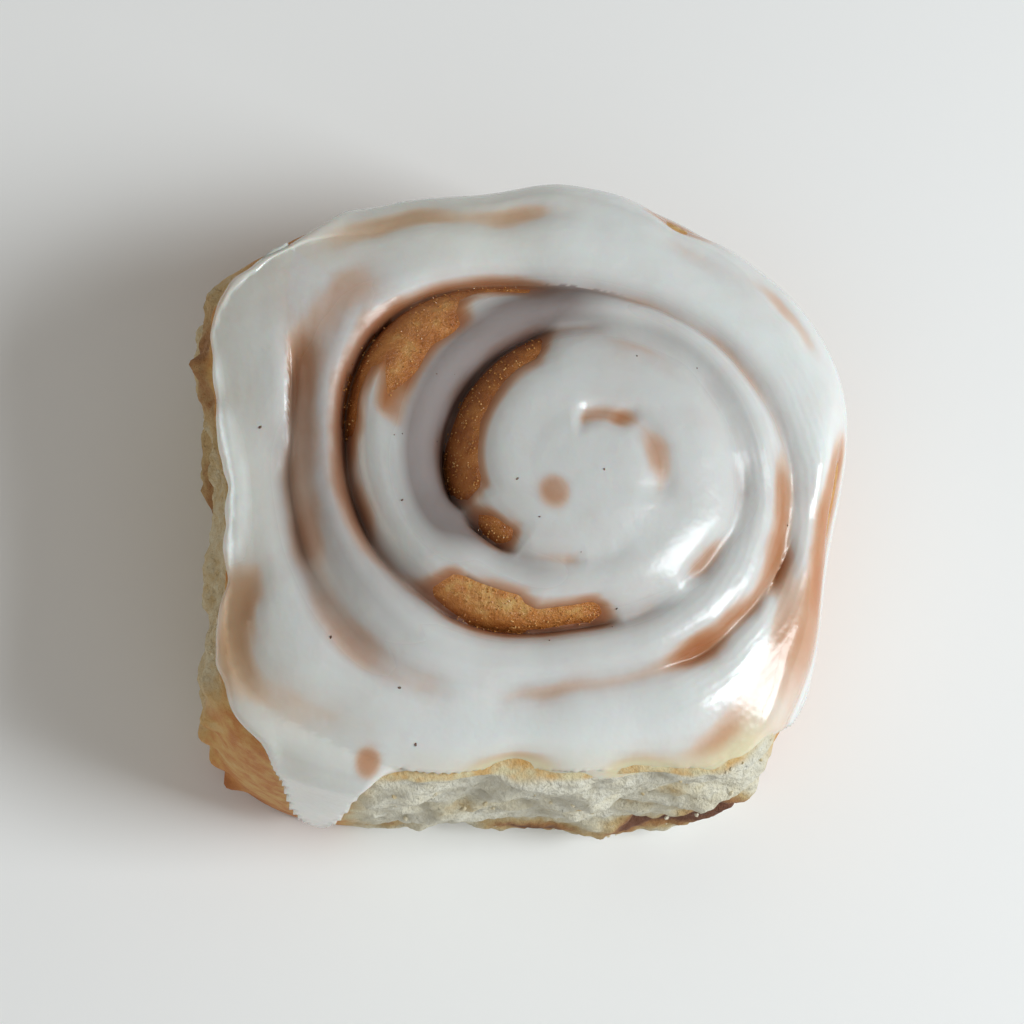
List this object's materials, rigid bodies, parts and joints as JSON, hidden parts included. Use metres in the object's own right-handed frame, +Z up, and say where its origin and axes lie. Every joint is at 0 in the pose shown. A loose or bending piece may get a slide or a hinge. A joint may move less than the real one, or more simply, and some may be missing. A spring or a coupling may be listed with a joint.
{
  "type": "cinnamon roll",
  "caption": "Squarish iced cinnamon roll, pulled apart from its neighbours: a coil of dough with filling in its seam, and white icing over the top.",
  "frame": {"origin": "middle of the roll's box, on the flat face that it rests on", "axes": "+Z up, out of the iced top; -Y towards the torn side that shows at the front of the picture; +X to the right, where the baked side is"},
  "size_m": [0.0934, 0.091, 0.048],
  "materials": {
    "dough": "matt baked crust, with soft torn crumb on two sides",
    "filling": "dark, grainy and sticky",
    "icing": "glossy, slightly see-through sugar icing"
  },
  "bodies": {
    "root": {"dough": "dough", "filling": "filling", "icing": "icing"}
  },
  "joints": []
}
